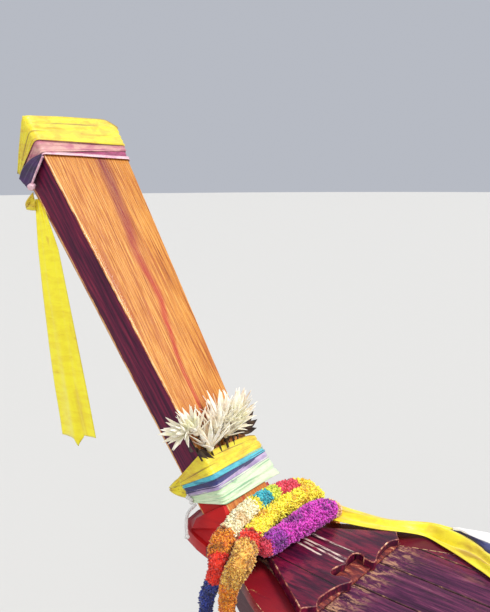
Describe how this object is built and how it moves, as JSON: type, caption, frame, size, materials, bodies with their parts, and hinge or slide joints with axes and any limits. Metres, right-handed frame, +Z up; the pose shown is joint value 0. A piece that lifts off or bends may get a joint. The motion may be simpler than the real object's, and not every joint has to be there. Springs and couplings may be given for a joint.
{
  "type": "longtail boat",
  "caption": "Wooden longtail boat with a tall raked stem dressed in cloths and garlands, planked hull, canopy, and a swivelling engine with a long propeller shaft.",
  "frame": {"origin": "on the centreline amidships at the waterline, on the water mount", "axes": "+X forward to the bow, +Y to port, +Z up"},
  "size_m": [13.9257, 1.8934, 2.8089],
  "materials": {
    "hull_paint": "worn maroon paint on wood",
    "boot_paint": "pale band at the waterline, worn paint on wood",
    "red_paint": "worn red paint on wood",
    "varnished_wood": "bare varnished hardwood with dark grain",
    "deck_paint": "dark red lacquer on wood",
    "deck_wood": "weathered planks with worn paint",
    "inner_wood": "bare wood",
    "frame_paint": "cream paint on wood",
    "tarpaulin": "blue coated cloth",
    "iron": "dark rusty iron",
    "steel": "worn steel",
    "engine_paint": "green paint on cast iron",
    "bronze": "bronze",
    "plastic": "dark plastic",
    "rubber": "black rubber",
    "yellow_cloth": "bright yellow satin cloth",
    "pink_cloth": "pink and lavender satin cloth",
    "purple_cloth": "deep purple satin cloth",
    "band_cloth": "pale mint satin cloth",
    "teal_cloth": "light blue satin cloth",
    "petals": "cream cloth petals",
    "leaf": "dark brown leaves",
    "garland_gold": "gold and orange cloth blossoms",
    "garland_yellow": "yellow cloth blossoms",
    "garland_cream": "cream cloth blossoms",
    "garland_red": "red cloth blossoms",
    "garland_pink": "magenta cloth blossoms",
    "garland_blue": "blue cloth blossoms",
    "cord": "white cotton cord"
  },
  "bodies": {
    "hull": {"keel": "hull_paint", "stem_post": "varnished_wood", "garboard_aft_port": "hull_paint", "garboard_aft_starboard": "hull_paint", "garboard_fore_port": "hull_paint", "garboard_fore_starboard": "hull_paint", "bilge_plank_aft_port": "hull_paint", "bilge_plank_aft_starboard": "hull_paint", "bilge_plank_fore_port": "hull_paint", "bilge_plank_fore_starboard": "hull_paint", "topside_plank_aft_port": "hull_paint", "topside_plank_aft_starboard": "hull_paint", "topside_plank_fore_port": "hull_paint", "topside_plank_fore_starboard": "hull_paint", "transom": "hull_paint", "rail_port": "red_paint", "rail_starboard": "red_paint", "cheek_port": "red_paint", "cheek_starboard": "red_paint", "bow_plate": "deck_paint", "foredeck": "deck_wood", "fore_bulkhead": "inner_wood", "stern_bulkhead": "inner_wood", "floor_timbers": "inner_wood", "side_timbers_aft_port": "inner_wood", "side_timbers_aft_starboard": "inner_wood", "side_timbers_fore_port": "inner_wood", "side_timbers_fore_starboard": "inner_wood", "floorboards": "inner_wood", "seat_1": "inner_wood", "seat_2": "inner_wood", "seat_3": "inner_wood", "seat_4": "inner_wood", "canopy_frame": "frame_paint", "canopy_sheet": "tarpaulin", "stern_deck": "inner_wood", "engine_post": "inner_wood", "fuel_tank": "plastic", "battery": "plastic", "top_cloth": "yellow_cloth", "hanging_sash": "yellow_cloth", "waist_cloth": "band_cloth", "flower_bunch": "petals", "garland_upper": "garland_gold", "garland_lower": "garland_pink", "garland_tail": "garland_gold", "deck_sash": "yellow_cloth", "white_cord": "cord"},
    "yoke": {"swivel_yoke": "iron"},
    "engine": {"engine_frame": "iron", "engine_block": "engine_paint", "cylinder_head": "engine_paint", "belt_pulleys": "steel", "exhaust": "iron", "air_cleaner": "plastic", "alternator": "steel", "tiller": "steel", "shaft_tube": "steel"},
    "propeller": {"propeller": "bronze"}
  },
  "joints": [
    {"name": "swivel", "type": "hinge", "parent": "hull", "child": "yoke", "pos_m": [-4.5, 0, 0.97], "axis": [0, 0, 1], "range_deg": [-45, 45]},
    {"name": "tilt", "type": "hinge", "parent": "yoke", "child": "engine", "pos_m": [-4.5, 0, 1.15], "axis": [0, 1, 0], "range_deg": [-4, 20]},
    {"name": "propeller_spin", "type": "hinge", "parent": "engine", "child": "propeller", "pos_m": [-8.4425, 0, -0.1519], "axis": [0.9397, 0, 0.342], "continuous": true}
  ]
}
